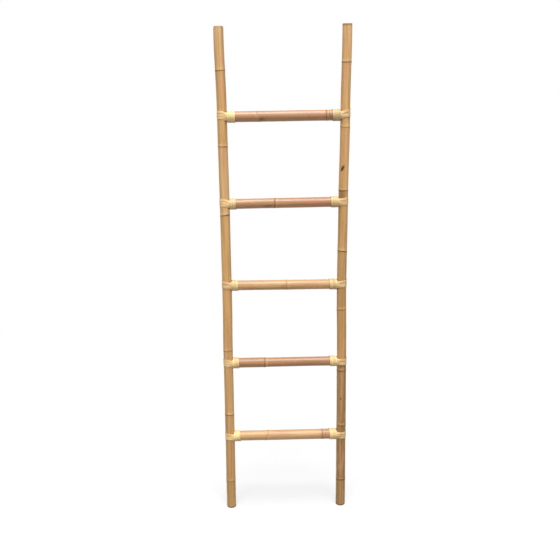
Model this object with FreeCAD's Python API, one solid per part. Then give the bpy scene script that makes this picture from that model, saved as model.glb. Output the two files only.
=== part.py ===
"""Blanket ladder of natural cane: two poles, five rungs, and a lashing of split peel at each rung end.

Millimetres. +Z is up, the front faces -Y and the left pole stands at -X.
The origin is on the floor, midway between the feet.
"""
import FreeCAD
import Part
import math
import os

V = FreeCAD.Vector
UP = V(0, 0, 1)

# Frame of the ladder
HEIGHT = 1800.0
FIRST_RUNG = 304.0
RUNG_PITCH = 300.0
RUNG_COUNT = 5
FOOT_SPACING = 429.0  # between the pole axes, at the floor and again at the top
FOOT_LENGTH = 60.0  # straight, round stretch at the foot of each pole
LASHED_HALF = 22.0  # half of the straight stretch of a pole where a rung is lashed to it

# Canes: a bow is how far the axis leans in towards the middle, at the foot, at each rung and at the top.
# A ridge that falls under a lashing is dressed off, as the left pole's is at rung 3.
POLES = {
    "left": {
        "side": -1,
        "foot_diameter": 35.8,
        "top_diameter": 34.0,
        "bow": (0.0, 1.8, 3.0, 5.8, 5.8, 4.8, 0.0),
        "ridges": (119.0, 400.0, 659.0, 1168.0, 1407.0, 1660.0),
        "top_round": 4.5,
    },
    "right": {
        "side": 1,
        "foot_diameter": 35.8,
        "top_diameter": 32.6,
        "bow": (0.0, 1.2, 3.2, 7.2, 5.8, 3.0, 0.0),
        "ridges": (115.0, 346.0, 569.0, 810.0, 1029.0, 1247.0, 1465.0, 1679.0),
        "top_round": 2.0,
    },
}
# Rungs from the lowest up: diameters at the left and right, ridges as distances right of the middle,
# and how much lower the right end sits than the left.
RUNGS = (
    {"left_diameter": 37.4, "right_diameter": 38.0, "ridges": (-70.8, 140.9), "fall": 0.0},
    {"left_diameter": 36.6, "right_diameter": 34.8, "ridges": (-73.0,), "fall": 0.5},
    {"left_diameter": 35.6, "right_diameter": 35.6, "ridges": (9.1,), "fall": 3.0},
    {"left_diameter": 35.2, "right_diameter": 35.2, "ridges": (-31.0,), "fall": -0.5},
    {"left_diameter": 36.5, "right_diameter": 36.5, "ridges": (-88.9, 146.6), "fall": 1.4},
)
STATION = 75.0  # spacing of the sections along a cane
RIDGE_HEIGHT = 0.45  # a node ridge stands this far proud of the cane
RIDGE_HALF = 4.0  # from a ridge's crest to where the cane is plain again
CREST_HALF = 0.9  # half of the ridge's flat crest
RIDGE_CLEAR = 8.0  # no plain section is nearer than this to a ridge
FOOT_ROUND = 1.6  # radius of the eased edge of a foot
END_TOLERANCE = 0.01  # how far the middle of an end's edge may be from the end

# Rung ends: dressed down to the pole and hollowed to fit round it
SADDLE_DEPTH = 9.5  # how far a rung end reaches round its pole, from the pole's inner side
SEAT_GAP = 0.2  # between cane and peel, and between peel and peel

# Straps: flat peel bent round the pole, legs along the rung
STRAP_WIDTH = 8.9
STRAP_PITCH = 9.3
STRAP_THICKNESS = 1.1
STRAP_NAMES = ("lower", "middle", "upper")
LANDING_GAP = 1.0  # from the pole's inner side to where a leg lies on the rung
# How much higher than the rung's middle the straps cross the pole, at each rung from the lowest up
STRAP_LIFT = {"left": (3.3, 4.9, 5.3, 6.5, 7.0), "right": (0.0, 0.8, 4.4, 3.5, 5.8)}

# Collars: one length of narrower peel wound over the strap legs
PEEL_WIDTH = 4.4
PEEL_PITCH = 4.9
PEEL_THICKNESS = 1.3
PEEL_TURNS = {"left": (4, 4, 4, 4, 5), "right": (5, 5, 5, 5, 5)}  # at each rung, from the lowest up
PEEL_START = 0.25  # radians above the back of the rung where the winding starts and ends
PEEL_TAIL = 2.6  # straight run at each end of the peel
COLLAR_LEAD = 0.2  # the first turn's edge starts this far before the middle strap's landing
GAP_STEPS = 36  # points per turn where the winding's gap to itself is measured
LEG_SETBACK = 0.8  # the legs end this far inside the collar's front edge

# Fasteners
SCREW_LENGTH = 60.0
SCREW_SHANK_RADIUS = 2.2
SCREW_CORE_RADIUS = 1.6
SCREW_HEAD_RADIUS = 4.2
SCREW_POINT = 4.0
SCREW_SINK = 1.5  # depth of the head below the pole's outer side
SCREW_CLEARANCE = 0.05
HOLE_OVERRUN = 3.5  # the room for a screw is cut from this far outside the pole
DRIVE_WIDTH = 1.0
DRIVE_LENGTH = 5.4
DRIVE_DEPTH = 1.6
BRAD_LENGTH = 13.0
BRAD_RADIUS = 0.6
BRAD_HEAD_RADIUS = 1.4
BRAD_HEAD_THICKNESS = 0.5
BRAD_INSET = 5.0  # from the end of the peel, along the peel


def rung_height(index):
    return FIRST_RUNG + RUNG_PITCH * index


def pole_spans():
    """The stretches of a pole between its foot, its lashed places and its top, from the floor up."""
    lashed = [rung_height(i) for i in range(RUNG_COUNT)]
    lows = [FOOT_LENGTH] + [z + LASHED_HALF for z in lashed]
    highs = [z - LASHED_HALF for z in lashed] + [HEIGHT]
    return list(zip(lows, highs))


def bow_at(pole, z):
    """Inward lean of a pole's axis at height z. The axis stands upright where a rung is lashed to it."""
    spans = pole_spans()
    k = min(i for i, (_, high) in enumerate(spans) if z <= high or i == RUNG_COUNT)
    low, high = spans[k]
    share = max(z - low, 0.0) / (high - low)
    return pole["bow"][k] + (pole["bow"][k + 1] - pole["bow"][k]) * share * share * (3 - 2 * share)


def pole_x(pole, z):
    return pole["side"] * (FOOT_SPACING / 2 - bow_at(pole, z))


def pole_radius(pole, z):
    share = max(z - FOOT_LENGTH, 0.0) / (HEIGHT - FOOT_LENGTH)
    return (pole["foot_diameter"] + (pole["top_diameter"] - pole["foot_diameter"]) * share) / 2


def stations(start, end, ridges):
    """Places of the sections along a cane, as (place, extra radius), with four at each ridge."""
    count = round((end - start) / STATION)
    inside = [r for r in ridges if start < r < end]
    plain = [start + (end - start) * i / count for i in range(count + 1)]
    clear = [p for p in plain if all(abs(p - r) > RIDGE_CLEAR for r in inside)]
    places = [(p, 0.0) for p in clear]
    for ridge in inside:
        for side in (-1, 1):
            places.append((ridge + side * RIDGE_HALF, 0.0))
            places.append((ridge + side * CREST_HALF, RIDGE_HEIGHT))
    return sorted(places)


def circle(centre, radius, normal):
    return Part.Wire(Part.makeCircle(radius, centre, normal))


def end_edges(solid, axis, place):
    """The round edge of a cane's sawn end at this place along an axis."""
    rings = [e for e in solid.Edges if len(e.Vertexes) == 1]
    return [e for e in rings if abs(e.CenterOfMass.dot(axis) - place) < END_TOLERANCE]


def make_pole(pole):
    places = [(0.0, 0.0)]
    for low, high in pole_spans():
        places += stations(low, high, pole["ridges"])
    sections = [circle(V(pole_x(pole, z), 0, z), pole_radius(pole, z) + extra, UP) for z, extra in places]
    solid = Part.makeLoft(sections, True, True)
    solid = solid.makeFillet(FOOT_ROUND, end_edges(solid, UP, 0.0))
    return solid.makeFillet(pole["top_round"], end_edges(solid, UP, HEIGHT))


def joint_frame(pole, index):
    """Placement of a joint: origin on the pole's axis, +X along the rung towards its middle."""
    rung = RUNGS[index]
    left_z = rung_height(index) + rung["fall"] / 2
    right_z = rung_height(index) - rung["fall"] / 2
    left = V(pole_x(POLES["left"], left_z), 0, left_z)
    right = V(pole_x(POLES["right"], right_z), 0, right_z)
    start, end = (left, right) if pole["side"] < 0 else (right, left)
    along = (end - start).normalize()
    turn = FreeCAD.Rotation(along, V(), UP, "XZY")
    return FreeCAD.Placement(start, turn), (end - start).Length


def rung_radius(rung, pole):
    return rung["left_diameter" if pole["side"] < 0 else "right_diameter"] / 2


def make_rung(index):
    """A rung along +X from the left joint's origin, its ends dressed down and not yet hollowed."""
    rung = RUNGS[index]
    frame, length = joint_frame(POLES["left"], index)
    ends = []
    for pole in POLES.values():
        radius = rung_radius(rung, pole)
        post = pole_radius(pole, rung_height(index))
        ends.append((post - SADDLE_DEPTH, min(radius, post - SEAT_GAP), post + LANDING_GAP, radius))
    (tip_a, tip_radius_a, land_a, radius_a), (tip_b, tip_radius_b, land_b, radius_b) = ends
    ridges = [length / 2 + r for r in rung["ridges"]]
    sections = [circle(V(tip_a, 0, 0), tip_radius_a, V(1, 0, 0))]
    for x, extra in stations(land_a, length - land_b, ridges):
        radius = radius_a if x <= ridges[0] else radius_b
        sections.append(circle(V(x, 0, 0), radius + extra, V(1, 0, 0)))
    sections.append(circle(V(length - tip_b, 0, 0), tip_radius_b, V(1, 0, 0)))
    solid = Part.makeLoft(sections, True, True)
    solid.Placement = frame
    return solid


def strap_section(x, angle, rung_surface, depth_sign):
    """Cross-section of a strap leg where it lies on the rung: a band of the round surface."""
    inner = rung_surface + SEAT_GAP
    outer = inner + STRAP_THICKNESS
    half = STRAP_WIDTH / 2 / (inner + STRAP_THICKNESS / 2)

    def on(radius, a):
        return V(x, depth_sign * radius * math.cos(a), radius * math.sin(a))

    low, high = angle - half, angle + half
    return Part.Wire(
        [
            Part.Arc(on(inner, low), on(inner, angle), on(inner, high)).toShape(),
            Part.LineSegment(on(inner, high), on(outer, high)).toShape(),
            Part.Arc(on(outer, high), on(outer, angle), on(outer, low)).toShape(),
            Part.LineSegment(on(outer, low), on(inner, low)).toShape(),
        ]
    )


def flat_section(place, outward, z):
    """Cross-section of a strap where it lies on the pole: an upright flat band."""
    low, high = z - STRAP_WIDTH / 2, z + STRAP_WIDTH / 2
    inner = place
    outer = place + outward * STRAP_THICKNESS
    corners = [V(inner.x, inner.y, low), V(inner.x, inner.y, high)]
    corners += [V(outer.x, outer.y, high), V(outer.x, outer.y, low)]
    return Part.makePolygon(corners + corners[:1])


def make_strap(post, radius, level, lift, leg_end):
    """One strap: half a turn round the pole, then a leg each along the rung's front and back."""
    z = level * STRAP_PITCH + lift
    spread = STRAP_PITCH / (radius + SEAT_GAP + STRAP_THICKNESS / 2)
    angle = level * spread
    ring = post + SEAT_GAP
    landing = post + LANDING_GAP
    # all three leave the pole where an outer one's line is square to the pole's radius
    depth = (radius + SEAT_GAP) * math.cos(spread)
    leave = math.atan2(landing, depth) - math.acos(ring / math.hypot(landing, depth))
    bend = Part.makeCylinder(ring + STRAP_THICKNESS, STRAP_WIDTH, V(0, 0, z - STRAP_WIDTH / 2))
    bend = bend.cut(Part.makeCylinder(ring, STRAP_WIDTH, V(0, 0, z - STRAP_WIDTH / 2)))
    reach = 2 * ring
    out = V(math.sin(leave), math.cos(leave), 0)
    wedge = [V(), out * reach, V(-reach, reach, 0), V(-reach, -reach, 0), V(out.x, -out.y, 0) * reach]
    sector = Part.Face(Part.makePolygon(wedge + [V()])).extrude(UP * STRAP_WIDTH)
    sector.translate(V(0, 0, z - STRAP_WIDTH / 2))
    pieces = [bend.common(sector)]
    for depth_sign in (-1, 1):
        side = V(out.x, depth_sign * out.y, 0)
        on_pole = flat_section(side * ring, side, z)
        on_rung = [strap_section(x, angle, radius, depth_sign) for x in (landing, leg_end)]
        pieces.append(Part.makeLoft([on_pole, on_rung[0]], True, True))
        pieces.append(Part.makeLoft(on_rung, True, True))
    return pieces[0].multiFuse(pieces[1:])


def biarc(start, start_way, end, end_way):
    """Two tangent arcs from one point and direction to another, with equal control lengths."""
    chord = end - start
    both = start_way + end_way
    a = 2 * (1 - start_way.dot(end_way))
    b = 2 * chord.dot(both)
    reach = (math.sqrt(b * b + 4 * a * chord.dot(chord)) - b) / (2 * a)
    near = start + start_way * reach
    far = end - end_way * reach
    meet = (near + far) * 0.5
    return [arc_from(start, start_way, meet), arc_from(meet, (far - near).normalize(), end)]


def arc_from(start, way, end):
    """The arc that leaves start in this direction and ends at end."""
    chord = end - start
    inward = (chord - way * chord.dot(way)).normalize()
    radius = chord.dot(chord) / (2 * chord.dot(inward))
    centre = start + inward * radius
    middle = centre + ((start + end) * 0.5 - centre).normalize() * radius
    return Part.Arc(start, middle, end).toShape()


def winding_start(pole):
    """Where a winding starts round its rung, from the joint's +Y: just above the back on either side."""
    return PEEL_START if pole["side"] < 0 else math.pi - PEEL_START


def winding_point(first, radius, start, turned):
    """A point of the peel's middle line, this far round from its start, its direction and outward normal."""
    climb = PEEL_PITCH / (2 * math.pi)
    turn = start + turned
    out = V(0, math.cos(turn), math.sin(turn))
    place = V(first + climb * turned, 0, 0) + out * radius
    way = V(climb, -radius * math.sin(turn), radius * math.cos(turn)).normalize()
    return place, way, out


def peel_section(place, way, out):
    across = way.cross(out).normalize()
    corners = []
    for side, lift in ((-1, -1), (1, -1), (1, 1), (-1, 1)):
        corners.append(place + across * (side * PEEL_WIDTH / 2) + out * (lift * PEEL_THICKNESS / 2))
    return Part.makePolygon(corners + corners[:1])


def make_collar(first, radius, start_turn, turns):
    """The winding: one unbroken flat peel, a biarc for each quarter turn, a straight tail at each end."""
    quarter = math.pi / 2
    count = 4 * turns
    knots = [winding_point(first, radius, start_turn, quarter * k) for k in range(count + 1)]
    start, start_way, start_out = knots[0]
    end, end_way, end_out = knots[-1]
    tail_start = start - start_way * PEEL_TAIL
    tail_end = end + end_way * PEEL_TAIL
    edges = [Part.LineSegment(tail_start, start).toShape()]
    for (a, a_way, _), (b, b_way, _) in zip(knots, knots[1:]):
        edges += biarc(a, a_way, b, b_way)
    edges.append(Part.LineSegment(end, tail_end).toShape())
    sections = [peel_section(tail_start, start_way, start_out)]
    sections += [peel_section(*knot) for knot in knots]
    sections.append(peel_section(tail_end, end_way, end_out))
    return Part.Wire(edges).makePipeShell(sections, True, False)


def least_gap(first, radius, start_turn, turns):
    """Least distance between neighbouring turns, on points along the peel's two edges."""
    half = PEEL_WIDTH / 2
    edges = {}
    for side in (-1, 1):
        edges[side] = []
        for k in range(turns * GAP_STEPS + 1):
            turned = 2 * math.pi * k / GAP_STEPS
            place, way, out = winding_point(first, radius, start_turn, turned)
            edges[side].append(place + way.cross(out).normalize() * (side * half))
    gaps = []
    for k, a in enumerate(edges[-1]):
        gaps += [a.distanceToPoint(b) for j, b in enumerate(edges[1]) if abs(j - k) > GAP_STEPS / 2]
    return min(gaps)


def make_screw(post):
    """A countersunk wood screw along +X, its head under the outer side of the pole."""
    head_x = SCREW_SINK - post
    cone = SCREW_HEAD_RADIUS - SCREW_SHANK_RADIUS
    shank_end = post
    point_x = head_x + SCREW_LENGTH - SCREW_POINT
    outline = [
        V(head_x, 0, 0),
        V(head_x, SCREW_HEAD_RADIUS, 0),
        V(head_x + cone, SCREW_SHANK_RADIUS, 0),
        V(shank_end, SCREW_SHANK_RADIUS, 0),
        V(shank_end, SCREW_CORE_RADIUS, 0),
        V(point_x, SCREW_CORE_RADIUS, 0),
        V(point_x + SCREW_POINT, 0, 0),
    ]
    screw = Part.Face(Part.makePolygon(outline + outline[:1])).revolve(V(), V(1, 0, 0), 360)
    for size in ((DRIVE_WIDTH, DRIVE_LENGTH), (DRIVE_LENGTH, DRIVE_WIDTH)):
        corner = V(head_x, -size[0] / 2, -size[1] / 2)
        screw = screw.cut(Part.makeBox(DRIVE_DEPTH, size[0], size[1], corner))
    return screw


def make_screw_hole(post):
    """The room for a screw: countersink and clearance hole in the pole, pilot hole in the rung."""
    head_x = SCREW_SINK - post
    grow = SCREW_CLEARANCE
    cone = SCREW_HEAD_RADIUS - SCREW_SHANK_RADIUS
    outline = [
        V(-post - HOLE_OVERRUN, 0, 0),
        V(-post - HOLE_OVERRUN, SCREW_HEAD_RADIUS + grow, 0),
        V(head_x, SCREW_HEAD_RADIUS + grow, 0),
        V(head_x + cone, SCREW_SHANK_RADIUS + grow, 0),
        V(post + grow, SCREW_SHANK_RADIUS + grow, 0),
        V(post + grow, SCREW_CORE_RADIUS + grow, 0),
        V(head_x + SCREW_LENGTH, SCREW_CORE_RADIUS + grow, 0),
        V(head_x + SCREW_LENGTH, 0, 0),
    ]
    return Part.Face(Part.makePolygon(outline + outline[:1])).revolve(V(), V(1, 0, 0), 360)


def make_brad(first, radius, start_turn, turns):
    """A brad at the back, driven through the end of the last turn into the rung."""
    turned = 2 * math.pi * turns - BRAD_INSET / radius
    place, _, out = winding_point(first, radius, start_turn, turned)
    head = place + out * (PEEL_THICKNESS / 2)
    brad = Part.makeCylinder(BRAD_RADIUS, BRAD_LENGTH, head, out * -1)
    return brad.fuse(Part.makeCylinder(BRAD_HEAD_RADIUS, BRAD_HEAD_THICKNESS, head, out))


os.makedirs("parts", exist_ok=True)
shapes = {f"{side}_pole": make_pole(pole) for side, pole in POLES.items()}
screws = []
brads = []
gaps = []
for index, rung in enumerate(RUNGS):
    name = f"rung_{index + 1}"
    rung_solid = make_rung(index)
    for side, pole in POLES.items():
        frame, _ = joint_frame(pole, index)
        post = pole_radius(pole, rung_height(index))
        radius = rung_radius(rung, pole)
        collar_radius = radius + 2 * SEAT_GAP + STRAP_THICKNESS + PEEL_THICKNESS / 2
        turns = PEEL_TURNS[side][index]
        first = post + LANDING_GAP - COLLAR_LEAD + PEEL_WIDTH / 2
        front_edge = first + PEEL_PITCH * (turns - 0.5) + PEEL_WIDTH / 2
        made = {}
        for level, word in zip((-1, 0, 1), STRAP_NAMES):
            lift = STRAP_LIFT[side][index]
            strap = make_strap(post, radius, level, lift, front_edge - LEG_SETBACK)
            made[f"{side}_strap_{index + 1}_{word}"] = strap
        winding = (first, collar_radius, winding_start(pole), turns)
        brad = make_brad(*winding)
        made[f"{side}_collar_{index + 1}"] = make_collar(*winding).cut(brad)
        gaps.append(least_gap(*winding))
        screw = make_screw(post)
        hole = make_screw_hole(post)
        for solid in (*made.values(), brad, screw, hole):
            solid.Placement = frame
        shapes.update(made)
        rung_solid = rung_solid.cut(shapes[f"{side}_pole"])
        rung_solid = rung_solid.cut(hole.fuse(brad))
        shapes[f"{side}_pole"] = shapes[f"{side}_pole"].cut(hole)
        screws.append(screw)
        brads.append(brad)
    shapes[name] = rung_solid
shapes["joint_screws"] = Part.makeCompound(screws)
shapes["collar_brads"] = Part.makeCompound(brads)

for name, shape in shapes.items():
    shape.exportStep(f"parts/{name}.step")
    print(name, len(shape.Solids), "valid" if shape.isValid() else "NOT VALID", round(shape.Volume, 1))
print("least gap of a winding to itself, mm:", round(min(gaps), 3))
box = Part.makeCompound(list(shapes.values())).BoundBox
print("box", [round(v, 2) for v in (box.XMin, box.XMax, box.YMin, box.YMax, box.ZMin, box.ZMax)])
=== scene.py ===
"""Looks of a cane blanket ladder: two poles, five rungs, and a lashing of split peel at each rung end.

Metres. Z is up, the front faces -Y and the left pole stands at -X.
"""
import math

import bmesh
import bpy
import numpy as np
from mathutils import Matrix, Vector


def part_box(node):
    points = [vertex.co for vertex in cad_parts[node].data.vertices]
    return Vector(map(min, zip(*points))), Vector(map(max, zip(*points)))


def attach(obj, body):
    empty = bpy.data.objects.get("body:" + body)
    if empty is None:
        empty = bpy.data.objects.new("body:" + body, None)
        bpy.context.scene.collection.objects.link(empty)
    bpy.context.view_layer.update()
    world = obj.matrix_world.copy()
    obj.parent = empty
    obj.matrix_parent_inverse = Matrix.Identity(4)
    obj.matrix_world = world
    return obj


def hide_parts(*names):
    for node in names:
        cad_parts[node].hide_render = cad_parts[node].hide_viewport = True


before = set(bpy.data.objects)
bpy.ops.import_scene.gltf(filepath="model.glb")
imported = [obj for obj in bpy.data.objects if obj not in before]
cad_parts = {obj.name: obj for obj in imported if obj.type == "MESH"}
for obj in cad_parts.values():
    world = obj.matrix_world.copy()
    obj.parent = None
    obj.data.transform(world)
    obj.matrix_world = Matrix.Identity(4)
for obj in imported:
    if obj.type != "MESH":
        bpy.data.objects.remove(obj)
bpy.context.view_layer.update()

# ---------------------------------------------------------------------------------------------
# Camera. It stands in front of the ladder, a little below its top, and looks down at its middle.
# The picture is square, and the lens points at a column left of the picture's middle.

PICTURE = 560.0  # pixels each way
FOCAL = 760.0  # pixels
AIM_COLUMN = 248.0  # pixels from the picture's left side
SENSOR = 36.0  # mm
CAMERA_PLACE = Vector((-0.146, -2.648, 1.674))
CAMERA_TURN = math.radians(0.3)
CAMERA_DIP = math.radians(15.8)
CAMERA_ROLL = math.radians(1.15)

ahead = Vector((math.sin(CAMERA_TURN), math.cos(CAMERA_TURN), 0)) * math.cos(CAMERA_DIP)
ahead.z = -math.sin(CAMERA_DIP)
level = Vector((math.cos(CAMERA_TURN), -math.sin(CAMERA_TURN), 0))
upright = level.cross(ahead)
right = level * math.cos(CAMERA_ROLL) - upright * math.sin(CAMERA_ROLL)
top = upright * math.cos(CAMERA_ROLL) + level * math.sin(CAMERA_ROLL)
camera = bpy.data.objects.new("camera", bpy.data.cameras.new("camera"))
camera.data.sensor_width = SENSOR
camera.data.lens = FOCAL / PICTURE * SENSOR
camera.data.shift_x = 0.5 - AIM_COLUMN / PICTURE
camera.matrix_world = Matrix.Translation(CAMERA_PLACE) @ Matrix((right, top, -ahead)).transposed().to_4x4()
bpy.context.scene.collection.objects.link(camera)
bpy.context.scene.camera = camera

# ---------------------------------------------------------------------------------------------
# Poles. Two whole manau canes, 36 mm thick at the foot and a little less at the top, scraped to
# their blond flesh, sanded and clear lacquered. Each keeps its slow bow and the knuckles where its
# leaves grew, and is sawn square at both ends with the edges eased.

MM = 0.001
SIDES = ("left", "right")
LEVELS = (1, 2, 3, 4, 5)  # rungs, the lowest first
X, Y, Z = 0, 1, 2

# A whole round section of a frame cane: at least this wide and with so many corners, so near to
# each other along it.
SECTION_LEAST = 20 * MM
SECTION_CORNERS = 60
SECTION_GAP = 0.4 * MM
SECTION_SPREAD = 1.0 * MM
SECTION_MARGIN = 6 * MM  # nearer to a cane's end than this, sections belong to its eased edge
CREST_PROUD = 0.2 * MM  # a section this far wider than those around it is a knuckle's crest
CREST_AROUND = 2  # so many sections on either side of it
CREST_GAP = 5 * MM  # crests further apart than this belong to two knuckles

ROUND_POINTS = 72
FINE_STEP, FINE_HALF = 0.7 * MM, 9 * MM  # between rows of points beside a knuckle or a nick
COARSE_STEP, COARSE_FROM = 6 * MM, 40 * MM  # and this far from one

FULL_TURN = 2 * math.pi
UNEVEN, UNEVEN_LENGTH = 0.22 * MM, 0.5  # height and greatest length of a cane's slow unevenness
UNEVEN_LOBES = (1, 2, 3, 4)
UNEVEN_SHORTEST = 3.5  # the shortest of its waves is so many times shorter
SWELL, SWELL_HALF = 0.35 * MM, 10 * MM
CREST, CREST_HALF = 0.45 * MM, 1.1 * MM
GROOVE, GROOVE_HALF, GROOVE_DROP = 0.4 * MM, 0.9 * MM, 2.2 * MM
SCAR_HALF = 2.2 * MM
PALE_HALF, PALE_RISE = 3.5 * MM, 5 * MM  # the pale band on the far side of a knuckle's crest
END_DARK, END_HALF = 0.8, 5.5 * MM  # the colour darkens and the lacquer thins towards the sawn ends
WOBBLE, WOBBLE_LOBES = 0.5 * MM, 2  # a knuckle's ring strays this far, so many times round it
# A knuckle's scar is as dark as this all round it, changes by this to its darkest side, and by this
# from place to place.
SCAR_EVEN, SCAR_SIDED, SCAR_RAGGED, RAGGED_LOBES = 0.72, 0.28, 0.12, 3
STEEPEST = 30  # beyond this an exponential's own number would grow too large
PRESSED_HALF = 24 * MM  # half of the length that is dressed smooth under a lashing

POLE_COATS = 0.25  # how much lacquer lies on a pole
POLE_SEED = 11
GRAIN_APART = 3.0  # metres of pattern between one pole's grain and the next one's

FOOT_EASE = 1.6 * MM
TOP_EASE = {"left": 6.0 * MM, "right": 2.5 * MM}
EASE_ROWS = 5
FACE_SHARES = (0.2, 0.5, 0.8)  # rows across a sawn end, as shares of its radius

# How each knuckle looks, from the foot up: how far its ring rises from the pole's left to its right
# in mm, how dark its scar is, the turn from the front at which it is darkest, how pale its band is.
POLE_KNUCKLES = {
    "left": (
        (1.0, 0.45, 0.0, 0.2),
        (-1.5, 0.85, 0.3, 0.4),
        (1.5, 0.6, 1.0, 0.3),
        (6.0, 0.95, 1.0, 0.4),
        (-1.5, 0.8, 1.0, 0.4),
        (2.0, 0.8, -1.0, 0.2),
    ),
    "right": (
        (1.0, 1.0, 0.0, 0.2),
        (-1.5, 0.6, 0.0, 0.3),
        (2.0, 0.85, 0.0, 0.0),
        (4.0, 0.7, -0.8, 0.3),
        (-2.0, 0.9, 0.0, 0.3),
        (1.5, 0.85, -0.6, 0.1),
        (-1.0, 0.5, 0.4, 0.3),
        (1.0, 0.75, 0.2, 0.3),
    ),
}
# The tone of each length between knuckles, from the foot up: under a half is darker than the flesh.
# The tones are partly the cane's own and partly painted shade: they rise towards the top, so each
# pole is painted darker towards its foot.
POLE_TONES_AND_SHADE = {
    "left": (0.35, 0.42, 0.56, 0.5, 0.76, 0.44, 0.72),
    "right": (0.14, 0.0, 0.06, 0.34, 0.26, 0.36, 0.48, 0.44, 0.52),
}
# Old nicks that stayed when a pole was scraped, and on the right pole a broad band under its second
# lashing that is partly painted shade: height in metres, turn from the front towards +X, slant in
# degrees, half length and half width in mm, and how dark.
POLE_NICKS = {
    "left": (
        (0.78, -0.5, 0, 6.0, 1.2, 0.5),
        (1.52, 0.4, 0, 5.0, 1.0, 0.5),
        (1.166, 0.9, -60, 5.0, 1.4, 0.7),
    ),
    "right": (
        (1.323, -0.42, 27, 8.5, 3.6, 2.6),
        (0.572, 0.0, 84, 20.0, 1.4, 0.8),
        (0.456, -0.25, 20, 3.5, 2.8, 1.3),
        (1.12, 0.6, 0, 7.0, 1.0, 0.5),
        # A broad dark band under the right pole's second lashing: partly the flesh's own dark brown,
        # partly painted shade under the joint.
        (0.588, 0.0, 0, 10.0, 40.0, 0.22),
    ),
}
# Patches in the flesh: placed as the nicks are, with the tone that they add, and their blush.
# The pale patches at the poles' tops are a painted sheen. On the right pole, the dark band under the
# second lashing is partly painted shade, and three long strips down its sides are painted shade.
POLE_PATCHES = {
    "left": (
        # Paler at the left pole's top: a painted sheen.
        (1.79, 0.0, 0, 30, 60, 0.2, 0.0),
        (1.604, 0.2, 0, 16, 10, 0.0, 0.9),
        (1.395, 0.7, 0, 12, 8, 0.0, 0.7),
        (1.168, 0.6, 0, 9, 7, -0.2, 0.4),
    ),
    "right": (
        (1.667, 0.1, 0, 14, 12, 0.0, 0.5),
        (1.228, -0.3, 0, 20, 16, -0.4, 0.0),
        # The same band's darker tone: partly the flesh's own, partly painted shade under the joint.
        (0.590, 0.0, 0, 11, 40, -0.8, 0.0),
        # Paler at the right pole's top: a painted sheen.
        (1.785, 0.0, 0, 60, 60, 0.3, 0.1),
        (0.456, -0.25, 0, 9, 8, -0.2, 0.3),
        # Three long, narrow dark strips down the right pole's sides: painted shade, darker towards its
        # edges.
        (0.46, 1.15, 0, 130, 8, -0.3, 0.0),
        (0.18, 1.15, 0, 150, 9, -0.4, 0.0),
        (1.65, -1.15, 0, 150, 8, -0.2, 0.0),
    ),
}


def cane_line(node, axis):
    """A frame cane's plain round sections, from one end to the other, and the places of its knuckles."""
    corners = np.array([corner.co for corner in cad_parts[node].data.vertices])
    corners = corners[np.argsort(corners[:, axis])]
    cuts = np.flatnonzero(np.diff(corners[:, axis]) > SECTION_GAP) + 1
    rounds = [r for r in np.split(corners, cuts) if len(r) >= SECTION_CORNERS]
    rounds = [r for r in rounds if np.ptp(r[:, axis]) < SECTION_SPREAD and np.ptp(r[:, Y]) > SECTION_LEAST]
    ends = corners[[0, -1], axis]
    rounds = [r for r in rounds if min(abs(ends - r[:, axis].mean())) > SECTION_MARGIN]
    middles = np.array([(r.min(0) + r.max(0)) / 2 for r in rounds])
    radii = np.array([np.ptp(r[:, Y]) / 2 for r in rounds])
    padded = np.pad(radii, CREST_AROUND, "edge")
    nearby = np.lib.stride_tricks.sliding_window_view(padded, 2 * CREST_AROUND + 1)
    crest = radii - np.median(nearby, 1) > CREST_PROUD
    crests = middles[crest, axis]
    knuckles = [g.mean() for g in np.split(crests, np.flatnonzero(np.diff(crests) > CREST_GAP) + 1)]
    return {
        "axis": axis,
        "ends": ends,
        "places": middles[~crest, axis],
        "middles": middles[~crest],
        "radii": radii[~crest],
        "knuckles": knuckles,
    }


def waves(chance, along, around):
    """The slow unevenness of a natural cane, about one unit high, from a few waves round and along it."""
    height = np.zeros(np.broadcast(along, around).shape)
    for lobes in UNEVEN_LOBES:
        turns = FULL_TURN * along / (UNEVEN_LENGTH / chance.uniform(1, UNEVEN_SHORTEST))
        handed = chance.choice((-1, 1))
        height += np.cos(lobes * around + handed * turns + chance.uniform(0, FULL_TURN)) / lobes
    return height / 2


def apart(cane, along, around, place, turn, slant):
    """How far points of a skin are from one place, along a slanted mark and across it."""
    across = cane["radii"].mean() * ((around - turn + math.pi) % FULL_TURN - math.pi)
    tilt = math.radians(slant)
    up = along - place
    return up * math.cos(tilt) + across * math.sin(tilt), across * math.cos(tilt) - up * math.sin(tilt)


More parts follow.
